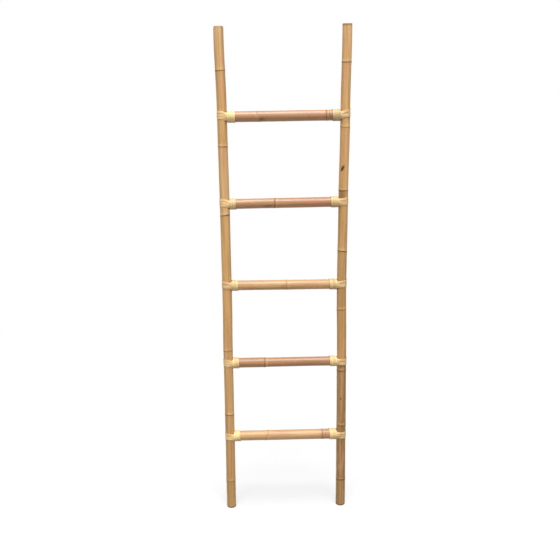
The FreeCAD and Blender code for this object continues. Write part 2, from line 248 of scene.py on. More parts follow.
def skin_of(cane, along, around, looks, tones, nicks, patches, pressed, chance):
    """A cane's skin: how far it stands off the plain round, and how dark, pale and pink it is."""
    lift = UNEVEN * waves(chance, along, around)
    for place in pressed:
        lift = lift * (1 - np.exp(-(((along - place) / PRESSED_HALF) ** 4)))
    scar = END_DARK * sum(np.exp(-(((along - end) / END_HALF) ** 2)) for end in cane["ends"])
    tone = np.full_like(lift, tones[0])
    blush = np.zeros_like(lift)
    for k, (place, (lean, dark, darkest, pale)) in enumerate(zip(cane["knuckles"], looks)):
        wobble = WOBBLE * waves(chance, 0 * along, WOBBLE_LOBES * around)
        away = along - place - lean * MM / 2 * np.sin(around) - wobble
        lift += SWELL * np.exp(-((away / SWELL_HALF) ** 2))
        lift += CREST * np.exp(-((away / CREST_HALF) ** 2))
        lift -= GROOVE * np.exp(-(((away + GROOVE_DROP) / GROOVE_HALF) ** 2))
        ragged = SCAR_RAGGED * waves(chance, 0 * along, RAGGED_LOBES * around)
        ragged += SCAR_EVEN + SCAR_SIDED * np.cos(around - darkest)
        line = np.exp(-(((away + GROOVE_DROP) / SCAR_HALF) ** 2))
        scar = np.maximum(scar, dark * ragged * line)
        beyond = np.clip(away / CREST_HALF, -STEEPEST, STEEPEST)
        tone += (tones[k + 1] - tones[k]) / (1 + np.exp(-beyond))
        tone += pale * np.exp(-(((away - PALE_RISE) / PALE_HALF) ** 2))
    for place, turn, slant, half_long, half_wide, dark in nicks:
        far, aside = apart(cane, along, around, place, turn, slant)
        nick = np.exp(-((far / (half_long * MM)) ** 2) - (aside / (half_wide * MM)) ** 2)
        lift -= GROOVE * nick
        scar = np.maximum(scar, dark * nick)
    for place, turn, slant, half_long, half_wide, toned, pink in patches:
        far, aside = apart(cane, along, around, place, turn, slant)
        patch = np.exp(-((far / (half_long * MM)) ** 2) - (aside / (half_wide * MM)) ** 2)
        tone += toned * patch
        blush = np.maximum(blush, pink * patch)
    return lift, {"scar": scar, "tone": tone, "blush": blush}


def row_places(start, end, close):
    """Places of rows along a cane, near each other at its knuckles and nicks and far apart elsewhere."""
    places = [start]
    while places[-1] < end - COARSE_STEP:
        nearest = min(abs(places[-1] - c) for c in close)
        places.append(places[-1] + np.interp(nearest, (FINE_HALF, COARSE_FROM), (FINE_STEP, COARSE_STEP)))
    return places + [end]


def cane_rows(cane, along, radius, around):
    """Points round a cane: out from its middle line at these places, front first, then +X or up."""
    middle = [np.interp(along, cane["places"], cane["middles"][:, k]) for k in (X, Y, Z)]
    middle[cane["axis"]] = along
    rows = np.stack(middle, -1)
    rows[..., Y] -= radius * np.cos(around)
    rows[..., X if cane["axis"] == Z else Z] += radius * np.sin(around)
    return rows


def closed_skin(name, rows, details, end_rows=0):
    """A piece with a skin through closed rows of points and a fan over each end.

    details are values kept at the points for the material. end_rows at each end are sawn faces.
    """
    count, size = rows.shape[:2]
    points = np.concatenate([rows.reshape(-1, 3), rows[[0, -1]].mean(1)])
    here = np.arange(size)
    following = np.roll(here, -1)
    loops = np.arange(count - 1)[:, None] * size
    quads = np.stack([loops + here, loops + following, loops + size + following, loops + size + here], -1)
    faces = quads.reshape(-1, 4).tolist()
    last = (count - 1) * size
    for middle, shift in ((count * size, 0), (count * size + 1, last)):
        faces += [(middle, int(shift + a), int(shift + b)) for a, b in zip(here, following)]
    mesh = bpy.data.meshes.new(name)
    mesh.from_pydata(points.tolist(), [], faces)
    shell = bmesh.new()
    shell.from_mesh(mesh)
    bmesh.ops.recalc_face_normals(shell, faces=shell.faces)
    shell.to_mesh(mesh)
    shell.free()
    mesh.polygons.foreach_set("use_smooth", [True] * len(faces))
    for key, values in details.items():
        values = np.broadcast_to(values, (count, size) + np.shape(values)[2:])
        ends = values[[0, -1]].mean(1)
        flat = np.concatenate([values.reshape((-1,) + values.shape[2:]), ends]).astype(np.float32)
        kind, field = ("FLOAT_VECTOR", "vector") if flat.ndim == 2 else ("FLOAT", "value")
        mesh.attributes.new(key, kind, "POINT").data.foreach_set(field, flat.ravel())
    if end_rows:
        sawn = np.zeros(len(faces), int)
        sawn[: end_rows * size] = 1
        sawn[(count - 1 - end_rows) * size :] = 1
        mesh.polygons.foreach_set("material_index", sawn)
    piece = bpy.data.objects.new(name, mesh)
    bpy.context.scene.collection.objects.link(piece)
    return piece


def stand_for(piece, slot, *nodes):
    """The piece goes with the ladder in place of these frame nodes. The slot is not used."""
    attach(piece, "root")
    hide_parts(*nodes)


def linear(colour):
    """A colour written as sRGB hex, as the linear numbers that a shader takes."""
    parts = [int(colour[k : k + 2], 16) / 255 for k in (1, 3, 5)]
    return tuple(p / 12.92 if p <= 0.04045 else ((p + 0.055) / 1.055) ** 2.4 for p in parts) + (1.0,)


def add(tree, kind, inputs=None, **settings):
    """Adds a node with its settings; its inputs are values or other nodes' outputs."""
    node = tree.nodes.new(kind)
    for key, value in settings.items():
        setattr(node, key, value)
    for key, value in (inputs or {}).items():
        if isinstance(value, bpy.types.NodeSocket):
            tree.links.new(value, node.inputs[key])
        else:
            node.inputs[key].default_value = value
    return node


def fibres(tree, grain, wide, long, detail=3.0):
    """Cane's long fibres as a pattern about one half: streaks this wide and this long."""
    stretch = (1 / wide, 1 / wide, 1 / long)
    drawn = add(tree, "ShaderNodeVectorMath", {0: grain, 1: stretch}, operation="MULTIPLY")
    noise = {"Vector": drawn.outputs[0], "Scale": 1.0, "Detail": detail}
    return add(tree, "ShaderNodeTexNoise", noise).outputs[0]


def stain(tree, under, colour, pattern, start, full, strength):
    """Lays a colour over the one under it, where a pattern's value goes from start to full."""
    limits = {"Value": pattern, "From Min": start, "From Max": full, "To Min": 0.0, "To Max": strength}
    amount = add(tree, "ShaderNodeMapRange", limits).outputs[0]
    colour = colour if isinstance(colour, bpy.types.NodeSocket) else linear(colour)
    under = under if isinstance(under, bpy.types.NodeSocket) else linear(under)
    return add(tree, "ShaderNodeMix", {0: amount, 6: under, 7: colour}, data_type="RGBA").outputs[2]


def shade(tree, colour, pattern, start, full, darkest, lightest):
    """Darkens or lightens a colour, where a pattern's value goes from start to full."""
    limits = {"Value": pattern, "From Min": start, "From Max": full}
    limits |= {"To Min": darkest, "To Max": lightest}
    amount = add(tree, "ShaderNodeMapRange", limits).outputs[0]
    mix = {0: 1.0, 6: colour, 7: amount}
    return add(tree, "ShaderNodeMix", mix, data_type="RGBA", blend_type="MULTIPLY").outputs[2]


def new_material(name):
    material = bpy.data.materials.new(name)
    material.use_nodes = True
    material.node_tree.nodes.clear()
    return material, material.node_tree


def lacquered_cane(name, coats, flesh, pale, deep, blushed, scar_colour):
    """Manau cane, scraped, sanded and thinly lacquered: long soft streaks under an even, silky skin."""
    material, tree = new_material(name)
    grain = add(tree, "ShaderNodeAttribute", attribute_name="grain").outputs["Vector"]
    tone = add(tree, "ShaderNodeAttribute", attribute_name="tone").outputs["Fac"]
    blush = add(tree, "ShaderNodeAttribute", attribute_name="blush").outputs["Fac"]
    scar = add(tree, "ShaderNodeAttribute", attribute_name="scar").outputs["Fac"]
    # Real fibres are 0.4 mm wide. They are drawn 2 mm wide, in broader bands, so that they show.
    bands = fibres(tree, grain, 8 * MM, 260 * MM)
    lines = fibres(tree, grain, 2 * MM, 110 * MM, 4.0)
    patches = fibres(tree, grain, 24 * MM, 80 * MM, 2.0)
    dashes = fibres(tree, grain, 0.9 * MM, 12 * MM, 2.0)
    colour = stain(tree, flesh, pale, tone, 0.5, 1.0, 1.0)
    colour = stain(tree, colour, deep, tone, 0.5, 0.0, 1.0)
    colour = stain(tree, colour, pale, bands, 0.52, 0.34, 0.35)
    colour = stain(tree, colour, deep, bands, 0.50, 0.68, 0.45)
    colour = stain(tree, colour, blushed, patches, 0.52, 0.68, 0.5)
    colour = stain(tree, colour, blushed, blush, 0.0, 1.0, 0.9)
    colour = shade(tree, colour, lines, 0.72, 0.30, 0.86, 1.08)
    colour = shade(tree, colour, dashes, 0.74, 0.58, 0.84, 1.0)
    colour = stain(tree, colour, scar_colour, scar, 0.05, 1.0, 0.96)
    rough = add(tree, "ShaderNodeMapRange", {"Value": lines, "To Min": 0.42, "To Max": 0.6}).outputs[0]
    bump = {"Height": lines, "Strength": 0.3, "Distance": 0.3 * MM}
    normal = add(tree, "ShaderNodeBump", bump).outputs[0]
    skin = {"Base Color": colour, "Roughness": rough, "Normal": normal, "IOR": 1.5}
    lacquer = {"Value": scar, "From Max": 0.6, "To Min": coats, "To Max": 0.0}
    skin["Coat Weight"] = add(tree, "ShaderNodeMapRange", lacquer).outputs[0]
    skin["Coat Roughness"] = 0.43
    shader = add(tree, "ShaderNodeBsdfPrincipled", skin)
    add(tree, "ShaderNodeOutputMaterial", {"Surface": shader.outputs[0]})
    return material


def sawn_cane(name, pith, ring, pore):
    """A cane sawn across and sanded: pale dry flesh full of pores, darker towards the skin."""
    material, tree = new_material(name)
    place = add(tree, "ShaderNodeTexCoord").outputs["Object"]
    edge = add(tree, "ShaderNodeAttribute", attribute_name="edge").outputs["Fac"]
    # Pores are 0.4 mm across and 1 mm apart. They are drawn twice as large, so that they show.
    cells = add(tree, "ShaderNodeTexVoronoi", {"Vector": place, "Scale": 1 / (2 * MM)}).outputs["Distance"]
    grime = fibres(tree, place, 9 * MM, 9 * MM)
    colour = stain(tree, pith, ring, edge, 0.5, 1.0, 0.8)
    colour = stain(tree, colour, pore, cells, 0.32, 0.12, 0.7)
    colour = stain(tree, colour, ring, grime, 0.45, 0.7, 0.6)
    bump = {"Height": cells, "Strength": 0.5, "Distance": 0.3 * MM}
    normal = add(tree, "ShaderNodeBump", bump).outputs[0]
    skin = {"Base Color": colour, "Roughness": 0.72, "Normal": normal}
    shader = add(tree, "ShaderNodeBsdfPrincipled", skin)
    add(tree, "ShaderNodeOutputMaterial", {"Surface": shader.outputs[0]})
    return material


def sawn_end(place, inward, ease):
    """Rows from the middle of a sawn end over its eased edge: place, cut from the radius, share of it."""
    rows = [(place, ease, share) for share in FACE_SHARES]
    for k in range(EASE_ROWS + 1):
        turn = math.pi / 2 * k / EASE_ROWS
        rows.append((place + inward * ease * (1 - math.cos(turn)), ease * (1 - math.sin(turn)), 1.0))
    return rows


around = np.linspace(0, FULL_TURN, ROUND_POINTS, endpoint=False)[None, :]
poles = {side: cane_line(f"{side}_pole", Z) for side in SIDES}
rungs = {level: cane_line(f"rung_{level}", X) for level in LEVELS}
rung_heights = [rungs[level]["middles"][:, Z].mean() for level in LEVELS]
golden_cane = lacquered_cane(
    "golden_manau_cane", POLE_COATS, "#DAA764", "#E8BC84", "#966C33", "#D89F6E", "#341806"
)
sawn_golden_cane = sawn_cane("sawn_manau_cane", "#B08A60", "#7E5A38", "#5A3A22")
for number, (side, pole) in enumerate(poles.items()):
    chance = np.random.default_rng(POLE_SEED + number)
    low, high = pole["ends"]
    foot = sawn_end(low, 1, FOOT_EASE)
    head = sawn_end(high, -1, TOP_EASE[side])[::-1]
    close = pole["knuckles"] + [nick[0] for nick in POLE_NICKS[side]]
    between = row_places(foot[-1][0], head[0][0], close)[1:-1]
    rows = np.array(foot + [(place, 0.0, 1.0) for place in between] + head)
    along, cut, share = (column[:, None] for column in rows.T)
    marks = (POLE_KNUCKLES[side], POLE_TONES_AND_SHADE[side], POLE_NICKS[side], POLE_PATCHES[side])
    lift, looks = skin_of(pole, along, around, *marks, rung_heights, chance)
    radius = (np.interp(along, pole["places"], pole["radii"]) + lift - cut) * share
    grain = (radius * np.cos(around), radius * np.sin(around), along + number * GRAIN_APART)
    grain = np.stack(np.broadcast_arrays(*grain), -1)
    details = {"grain": grain, "edge": share * np.ones_like(around), **looks}
    points = cane_rows(pole, along * np.ones_like(around), radius, around)
    piece = closed_skin(f"{side}_pole_cane", points, details, len(FACE_SHARES))
    piece.data.materials.append(golden_cane)
    piece.data.materials.append(sawn_golden_cane)
    stand_for(piece, "pole_cane", f"{side}_pole")

# ---------------------------------------------------------------------------------------------
# Rungs. Five lengths of the same cane, 35 to 38 mm thick, with a pinker and browner skin and more
# lacquer than the poles. Their ends are hollowed like a fish's mouth, sit against the poles, and
# are screwed through them.

MOUTH_GAP = 0.1 * MM  # from the pole to the hollowed end
MOUTH_DEPTH = 9.5 * MM  # how far the end reaches round the pole
SHOULDER = 2.0 * MM  # from the pole to where the rung has its full thickness
SHOULDER_ROWS = 5
COLLAR_COVER = 55 * MM  # from the pole's middle to where the lashing ends
RUDDY_COATS, HONEY_COATS = 0.8, 0.5  # how much lacquer lies on the redder rungs and the paler ones
RUNG_SEED = 31
RUNG_GRAIN = 10.0  # metres along the pattern at which the rungs' grain starts, one apart

# As on the poles, but from the left end to the right, with the ring's rise and all turns from the
# front to the top.
RUNG_KNUCKLES = {
    1: ((12.0, 0.45, -0.9, 0.5), (2.0, 0.75, -0.4, 0.1)),
    2: ((2.5, 0.6, -0.6, 0.5),),
    3: ((-1.0, 0.42, -0.3, 0.2),),
    4: ((1.0, 0.75, 0.3, 0.3),),
    5: ((-7.0, 0.35, -1.2, 0.0), (-1.0, 0.55, 0.2, 0.5)),
}
RUNG_TONES = {
    1: (0.75, 0.85, 0.4),
    2: (0.5, 0.55),
    3: (0.49, 0.42),
    4: (0.6, 0.55),
    5: (0.52, 0.46, 0.3),
}
RUNG_NICKS = {
    1: ((-0.02, 0.5, 0, 5.0, 1.0, 0.4), (0.152, 0.3, 80, 8.0, 1.2, 0.6)),
    2: ((0.07, 0.3, 0, 4.0, 1.2, 0.5), (-0.062, -0.3, 65, 8.0, 1.3, 0.45)),
    3: ((-0.09, 0.2, 0, 6.0, 1.0, 0.4),),
    4: ((-0.062, -0.45, 0, 16.0, 1.8, 0.7), (-0.045, -0.2, 30, 8.0, 1.4, 0.45)),
    5: ((-0.077, -0.5, 20, 6.0, 4.5, 0.6), (0.155, 0.1, 84, 14.0, 1.4, 0.5)),
}
RUNG_PATCHES = {
    1: ((-0.066, -0.2, 0, 5, 14, 0.3, 0.0), (0.165, 0.0, 0, 22, 40, -0.1, 0.9)),
    2: ((-0.125, 0.0, 0, 40, 40, -0.15, 0.0), (0.02, 0.3, 0, 60, 14, 0.1, 0.7)),
    3: ((-0.004, -0.3, 0, 11, 9, -0.3, 0.5),),
    4: ((0.11, -0.1, 0, 40, 40, -0.1, 0.8), (-0.055, -0.5, 0, 12, 6, -0.4, 0.0)),
    5: (
        (-0.092, 0.1, 110, 16, 3.5, 0.6, 0.0),
        (-0.072, -0.5, 0, 8, 7, -0.8, 0.2),
        (0.128, 0.1, 0, 12, 20, 0.1, 0.7),
        (0.165, 0.0, 0, 12, 40, -0.5, 0.4),
    ),
}


def joint_at(side, level):
    """A lashed joint: the pole's middle at the rung, the ways in, to the front and up, and both radii."""
    rung = rungs[level]
    pole = poles[side]
    near, far = (0, -1) if side == "left" else (-1, 0)
    inward = rung["middles"][far] - rung["middles"][near]
    inward = inward / np.linalg.norm(inward)
    height = rung["middles"][near][Z]
    post = np.interp(height, pole["places"], pole["middles"][:, X])
    start = rung["middles"][near] + inward * (post - rung["middles"][near][X]) / inward[X]
    front = np.array((0.0, -1.0, 0.0))
    up = np.array((-inward[Z], 0.0, inward[X])) * np.sign(inward[X])
    return {
        "start": start,
        "ways": np.array((inward, front, up)),
        "post": np.interp(height, pole["places"], pole["radii"]),
        "bar": rung["radii"][near],
    }


def mouth_rows(joint):
    """The hollowed end of a rung, from its middle out: distances from the pole's middle, and radii."""
    ring = joint["post"] + MOUTH_GAP
    tip = min(joint["bar"], ring)
    distances = []
    radii = []
    for share in FACE_SHARES + (1.0,):
        sideways = share * tip * np.cos(around[0])
        reach = np.sqrt(np.maximum(ring**2 - sideways**2, 0))
        distances.append(np.maximum(reach, ring - MOUTH_DEPTH))
        radii.append(np.full_like(sideways, share * tip))
    for k in range(1, SHOULDER_ROWS + 1):
        part = k / SHOULDER_ROWS
        distances.append(distances[len(FACE_SHARES)] * (1 - part) + (ring + SHOULDER) * part)
        radii.append(np.full_like(sideways, tip + (joint["bar"] - tip) * math.sin(part * math.pi / 2)))
    return np.array(distances), np.array(radii)


joints = {(side, level): joint_at(side, level) for level in LEVELS for side in SIDES}
ruddy_cane = lacquered_cane(
    "ruddy_manau_cane", RUDDY_COATS, "#A26F40", "#BE915F", "#7E522B", "#AD704A", "#553218"
)
honey_cane = lacquered_cane(
    "honey_manau_cane", HONEY_COATS, "#C49860", "#D4A876", "#9C6E40", "#BC8660", "#643C1E"
)
RUNG_CANES = {1: honey_cane, 2: ruddy_cane, 3: honey_cane, 4: ruddy_cane, 5: ruddy_cane}
for level, rung in rungs.items():
    chance = np.random.default_rng(RUNG_SEED + level)
    left, right_side = joints["left", level], joints["right", level]
    left_far, left_radius = mouth_rows(left)
    right_far, right_radius = mouth_rows(right_side)
    start = left["start"][X] + left_far
    end = (right_side["start"][X] - right_far)[::-1]
    close = rung["knuckles"] + [nick[0] for nick in RUNG_NICKS[level]]
    between = np.array(row_places(start[-1].max(), end[0].min(), close)[1:-1])[:, None]
    along = np.concatenate([start, between * np.ones_like(around), end])
    plain = np.interp(between, rung["places"], rung["radii"]) * np.ones_like(around)
    radius = np.concatenate([left_radius, plain, right_radius[::-1]])
    covered = (left["start"][X] + COLLAR_COVER / 2, right_side["start"][X] - COLLAR_COVER / 2)
    marks = (RUNG_KNUCKLES[level], RUNG_TONES[level], RUNG_NICKS[level], RUNG_PATCHES[level])
    lift, looks = skin_of(rung, along, around, *marks, covered, chance)
    skin_rows = slice(len(start), len(along) - len(end))
    radius[skin_rows] += lift[skin_rows]
    grain = (radius * np.cos(around), radius * np.sin(around), along + RUNG_GRAIN + level)
    details = {"grain": np.stack(grain, -1), "edge": np.ones_like(along), **looks}
    points = cane_rows(rung, along, radius, around)
    piece = closed_skin(f"rung_{level}_cane", points, details, len(FACE_SHARES))
    piece.data.materials.append(RUNG_CANES[level])
    piece.data.materials.append(sawn_golden_cane)
    stand_for(piece, "rung_cane", f"rung_{level}")

# ---------------------------------------------------------------------------------------------
# Straps. Three flat strips of rattan peel at each rung end, the cane's own glossy skin split off
# 9 mm wide, soaked, bent round the pole and pulled tight, with their legs laid along the rung.

STRAP_WIDTH = 8.9 * MM  # here and in the frame
STRAP_PITCH = 9.3 * MM
STRAP_THICKNESS = 1.1 * MM
STRAP_LAY = 0.15 * MM  # between the peel and what it lies on
STRAP_BANDS = {"lower": -1, "middle": 0, "upper": 1}
LANDING = 1.0 * MM  # from the pole's inner side to where a leg lies on the rung
WINDING_PITCH = 4.9 * MM  # from one turn of the collar to the next
LEG_SETBACK = 1.0 * MM  # the legs end this far inside the collar's front edge
BEND_POINTS = 60
LEG_POINTS = 12
PATH_STEP = 1.2 * MM
EASE_WINDOW = 5  # path points over which a sharp change of direction is eased
CLIMB = 0.1  # a strap climbs onto its neighbour over this share of its width
STRAP_SEED = 100
STRAP_TONES_DIFFER = 0.2
STRAP_GRAIN = (20, 30)  # metres along the pattern, where a strap's grain may start

# A strip's round section: points over its crowned top, and under it, as shares of its half width.
CROWN_POINTS = 9
CROWN_SHARE = 0.97
CROWN_LOSS = 0.25  # how much of a strip's thickness is lost at its rounded edges
UNDER_SHARES = (0.92, 0.4, -0.4, -0.92)
EDGE_HEIGHT = 0.4  # height of its widest points, as a share of its thickness
EDGE_SHARPNESS = 6  # how quickly the look of the cut edges fades inwards
MARK_HALF, MARK_SLANT = 0.9 * MM, 0.2  # a dark line where a leaf ring crossed the peel
STRAPS_PER_MARK = 2  # about every other strap shows one

# How each lashing was pulled: what share of their pitch the strips keep beside the collar, and how
# far in mm the upper and the lower strip spread on the pole's outer side.
PULLS = {
    ("left", 5): (1.0, 0.0, 0.0),
    ("right", 5): (0.8, 3.5, 0.0),
    ("left", 4): (1.0, 0.5, 0.0),
    ("right", 4): (0.85, 2.5, 0.0),
    ("left", 3): (0.8, 1.0, 0.0),
    ("right", 3): (0.85, 2.0, 0.0),
    ("left", 2): (1.0, 0.0, 0.0),
    ("right", 2): (0.8, 1.5, 0.0),
    ("left", 1): (0.9, 0.5, 0.5),
    ("right", 1): (1.0, 0.0, 0.0),
}
# How pale the straps are at each rung, from the lowest up.
STRAP_TONES = {"left": (1.4, 0.9, 0.55, 0.85, 1.0), "right": (0.55, 0.6, 0.35, 0.45, 0.25)}


def lashing_lift(side, level, joint):
    """How high a lashing's middle strip sits on the pole, over the rung's middle line."""
    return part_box(f"{side}_strap_{level}_middle")[1].z - joint["start"][Z] - STRAP_WIDTH / 2


def band_height(band, sits, pull, turn, start):
    """Height of a strip's middle line on the pole, this far round it from the side facing the rung."""
    share, rise, drop = pull
    inner = band * STRAP_PITCH * share + sits
    outer = band * STRAP_PITCH + sits + (rise if band > 0 else -drop if band < 0 else 0) * MM
    back = band * STRAP_PITCH + sits
    part = np.clip((turn - start) / (math.pi - start), 0, 2)
    ease = (1 - np.cos(np.minimum(part, 2 - part) * math.pi)) / 2
    return np.where(part < 1, inner, back) * (1 - ease) + outer * ease


def strap_path(joint, band, sits, pull, leg_end):
    """A strip's inner face along its middle line, in the joint's own ways, and the way it faces."""
    bar = joint["bar"] + STRAP_LAY
    ring = joint["post"] + STRAP_LAY
    turn = band * STRAP_PITCH / bar
    landing = joint["post"] + LANDING
    depth = bar * math.cos(turn)
    leave = math.atan2(depth, landing) + math.acos(min(1.0, ring / math.hypot(landing, depth)))
    bend = np.linspace(leave, FULL_TURN - leave, BEND_POINTS)
    height = band_height(band, sits, pull, bend, leave)
    crowding = np.abs(height - band_height(0, sits, pull, bend, leave))
    over = np.clip((STRAP_WIDTH - crowding) / (CLIMB * STRAP_WIDTH), 0, 1) if band else 0 * bend
    ring = ring + over * STRAP_THICKNESS
    on_pole = np.stack([ring * np.cos(bend), ring * np.sin(bend), height], -1)
    faces = np.stack([np.cos(bend), np.sin(bend), 0 * bend], -1)
    legs = []
    for front in (1, -1):
        reach = np.linspace(leg_end, landing, LEG_POINTS)
        leg = np.stack([reach, 0 * reach + front * depth, 0 * reach + bar * math.sin(turn)], -1)
        facing = np.tile((0.0, front * math.cos(turn), math.sin(turn)), (LEG_POINTS, 1))
        legs.append((leg, facing))
    (front_leg, front_face), (back_leg, back_face) = legs
    path = np.concatenate([front_leg, on_pole, back_leg[::-1]])
    return path, np.concatenate([front_face, faces, back_face[::-1]])


def evened(path, facing, step):
    """The same path with evenly spaced points, its corners eased."""
    length = np.concatenate([[0], np.cumsum(np.linalg.norm(np.diff(path, axis=0), axis=1))])
    places = np.linspace(0, length[-1], int(length[-1] / step))
    window = np.ones(EASE_WINDOW) / EASE_WINDOW
    made = []
    for values in (path, facing):
        columns = [np.interp(places, length, column) for column in values.T]
        padded = [np.pad(c, EASE_WINDOW // 2, "reflect", reflect_type="odd") for c in columns]
        made.append(np.stack([np.convolve(c, window, "valid") for c in padded], -1))
    return made[0], made[1], places


def peel_strip(path, facing, places, width, thickness, tone, marks):
    """A strip of peel swept along a path on its inner face: flat below, gently crowned on top."""
    ahead = np.gradient(path, axis=0)
    ahead /= np.linalg.norm(ahead, axis=1, keepdims=True)
    out = facing - ahead * np.sum(facing * ahead, 1, keepdims=True)
    out /= np.linalg.norm(out, axis=1, keepdims=True)
    across = np.cross(ahead, out)
    over = np.linspace(-1, 1, CROWN_POINTS)
    crowned = 1 - CROWN_LOSS * np.abs(over) ** 3
    under = np.array(UNDER_SHARES)
    sideways = np.concatenate([over * CROWN_SHARE, [1.0], under, [-1.0]]) / 2
    height = np.concatenate([crowned, [EDGE_HEIGHT], 0 * under, [EDGE_HEIGHT]])
    wide = np.broadcast_to(width, len(path))[:, None, None]
    rows = path[:, None] + across[:, None] * sideways[:, None] * wide
    rows = rows + out[:, None] * (height * thickness)[:, None]
    shape = np.ones((len(path), len(sideways)))
    along = shape * places[:, None]
    grain = np.stack([shape * sideways * wide[..., 0], shape * height * thickness, along], -1)
    slanted = along - MARK_SLANT * grain[..., 0]
    scar = sum(np.exp(-(((slanted - mark) / MARK_HALF) ** 2)) for mark in marks)
    edge = shape * np.abs(sideways * 2) ** EDGE_SHARPNESS
    return rows, {"grain": grain, "edge": edge, "tone": shape * tone[:, None], "scar": shape * scar}


def place_strip(name, joint, rows, details, grain_start):
    """Puts a strip that is drawn in a joint's own ways in its place on the ladder."""
    details["grain"] = details["grain"] + np.array((0, 0, grain_start))
    return closed_skin(name, joint["start"] + rows @ joint["ways"], details)


def split_peel(name, straw, deep, fibre, pale, edge_colour, scar_colour):
    """Rattan peel, split and shaved, not varnished: the cane's own skin, pale straw with a silky gloss."""
    material, tree = new_material(name)
    grain = add(tree, "ShaderNodeAttribute", attribute_name="grain").outputs["Vector"]
    tone = add(tree, "ShaderNodeAttribute", attribute_name="tone").outputs["Fac"]
    scar = add(tree, "ShaderNodeAttribute", attribute_name="scar").outputs["Fac"]
    edge = add(tree, "ShaderNodeAttribute", attribute_name="edge").outputs["Fac"]
    # Fibres of peel are 0.3 mm wide. They are drawn 1 mm wide, so that they show.
    lines = fibres(tree, grain, 1.0 * MM, 60 * MM, 3.0)
    bands = fibres(tree, grain, 3.5 * MM, 140 * MM, 2.0)
    crazing = fibres(tree, grain, 5 * MM, 0.8 * MM, 2.0)
    colour = stain(tree, straw, deep, bands, 0.42, 0.68, 0.7)
    colour = stain(tree, colour, fibre, lines, 0.52, 0.74, 0.45)
    colour = stain(tree, colour, pale, lines, 0.46, 0.32, 0.5)
    colour = stain(tree, colour, fibre, crazing, 0.60, 0.74, 0.3)
    colour = shade(tree, colour, tone, -1.0, 1.5, 0.48, 1.28)
    colour = stain(tree, colour, edge_colour, edge, 0.35, 1.0, 0.75)
    colour = stain(tree, colour, scar_colour, scar, 0.1, 0.9, 0.6)
    rough = add(tree, "ShaderNodeMapRange", {"Value": lines, "To Min": 0.36, "To Max": 0.54}).outputs[0]
    bump = {"Height": lines, "Strength": 0.4, "Distance": 0.2 * MM}
    normal = add(tree, "ShaderNodeBump", bump).outputs[0]
    skin = {"Base Color": colour, "Roughness": rough, "Normal": normal, "IOR": 1.5}
    shader = add(tree, "ShaderNodeBsdfPrincipled", skin)
    add(tree, "ShaderNodeOutputMaterial", {"Surface": shader.outputs[0]})
    return material


strap_peel = split_peel(
    "strap_rattan_peel", "#F2CD95", "#DCB074", "#BA8E56", "#F6DEB4", "#A27846", "#7A5028"
)
collar_ends = {}
for (side, level), joint in joints.items():
    low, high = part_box(f"{side}_collar_{level}")
    far = high.x if side == "left" else low.x
    collar_ends[side, level] = abs(far - joint["start"][X])
    leg_end = collar_ends[side, level] - WINDING_PITCH / 2 - LEG_SETBACK
    sits = lashing_lift(side, level, joint)
    for word, band in STRAP_BANDS.items():
        chance = np.random.default_rng(STRAP_SEED + 10 * level + 3 * SIDES.index(side) + band)
        path, facing = strap_path(joint, band, sits, PULLS[side, level], leg_end)
        path, facing, places = evened(path, facing, PATH_STEP)
        pale = STRAP_TONES[side][level - 1]
        pale += chance.uniform(-STRAP_TONES_DIFFER, STRAP_TONES_DIFFER)
        tone = np.full(len(path), pale)
        marks = [chance.uniform(0, STRAPS_PER_MARK) * places[-1]]
        name = f"{side}_strap_{level}_{word}"
        rows, details = peel_strip(path, facing, places, STRAP_WIDTH, STRAP_THICKNESS, tone, marks)
        piece = place_strip(f"{name}_peel", joint, rows, details, chance.uniform(*STRAP_GRAIN))
        piece.data.materials.append(strap_peel)
        stand_for(piece, "peel", name)

# ---------------------------------------------------------------------------------------------
# Collars. One length of narrower peel at each rung end, wound four or five times round the rung and
# the strap legs, each turn close against the last. Its tail is pinned with a brad at the back.

PEEL_WIDTH = 5.6 * MM
PEEL_THICKNESS = 1.3 * MM
PEEL_START = 0.25  # radians above the back of the rung
TURN_POINTS = 56
OVER_LEGS = 1.5 * MM  # the peel's inner face over the strap legs, from the rung
OVER_RUNG = 0.5 * MM  # and over the bare rung, above and below
LEGS_REACH = math.radians(45)  # the legs cover the rung this far up and down from its front and back
TIGHT = 0.25 * MM  # turns differ this much in how tight they lie
SWAY = 0.15 * MM  # and stray this much along the rung
TAIL = 2.6 * MM
LAST_TURN_PROUD, LAST_TURN = 0.3 * MM, 1.2  # the last turn stands this proud, over so many turns
LEAN_IN = 0.25  # turns over which the first one starts to lean over the pole
# How far in mm the first turn laps over the pole where it crosses the straps, and how pale a collar
# is, at each rung from the lowest up.
COLLAR_LAPS = {"left": (4.4, 3.2, 3.2, 3.2, 2.2), "right": (2.2, 2.2, 2.2, 2.2, 2.2)}
COLLAR_TONES = {"left": (1.2, 0.6, 0.3, 0.2, 0.7), "right": (0.6, 0.6, 0.15, 0.0, -0.45)}
COLLAR_TONES_DIFFER = 0.25
TONES_PER_TURN = 3
COLLAR_SEED = 300
COLLAR_GRAIN = (40, 50)  # metres along the pattern, where a collar's grain may start
FIRST_MARK = 0.3  # metres from the peel's start within which its first dark line falls
MARKS_APART = 0.28


